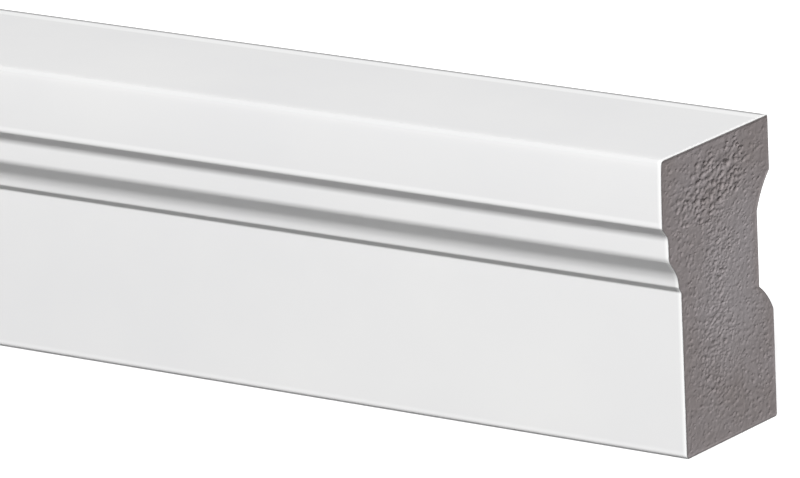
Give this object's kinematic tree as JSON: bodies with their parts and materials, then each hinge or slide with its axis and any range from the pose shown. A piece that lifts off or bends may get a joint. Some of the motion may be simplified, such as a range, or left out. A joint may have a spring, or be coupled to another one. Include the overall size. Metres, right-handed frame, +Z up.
{
  "type": "brick moulding",
  "caption": "Short length of white cellular plastic brick moulding with a crowned nosing, bead, cove and flat face, a relieved back and square sawn ends.",
  "frame": {"origin": "centre of the moulding's length and thickness, on the surface that its thin inner edge stands on", "axes": "+X along the moulding towards the sawn end that shows in the picture, +Y from the face to the back, +Z up from the thin inner edge to the thick outer edge"},
  "size_m": [0.16, 0.0318, 0.0508],
  "materials": {
    "cellular_plastic": "satin white skin on the long faces, matt warm grey cellular core where it is sawn"
  },
  "bodies": {
    "root": {"brick_moulding": "cellular_plastic"}
  },
  "joints": []
}
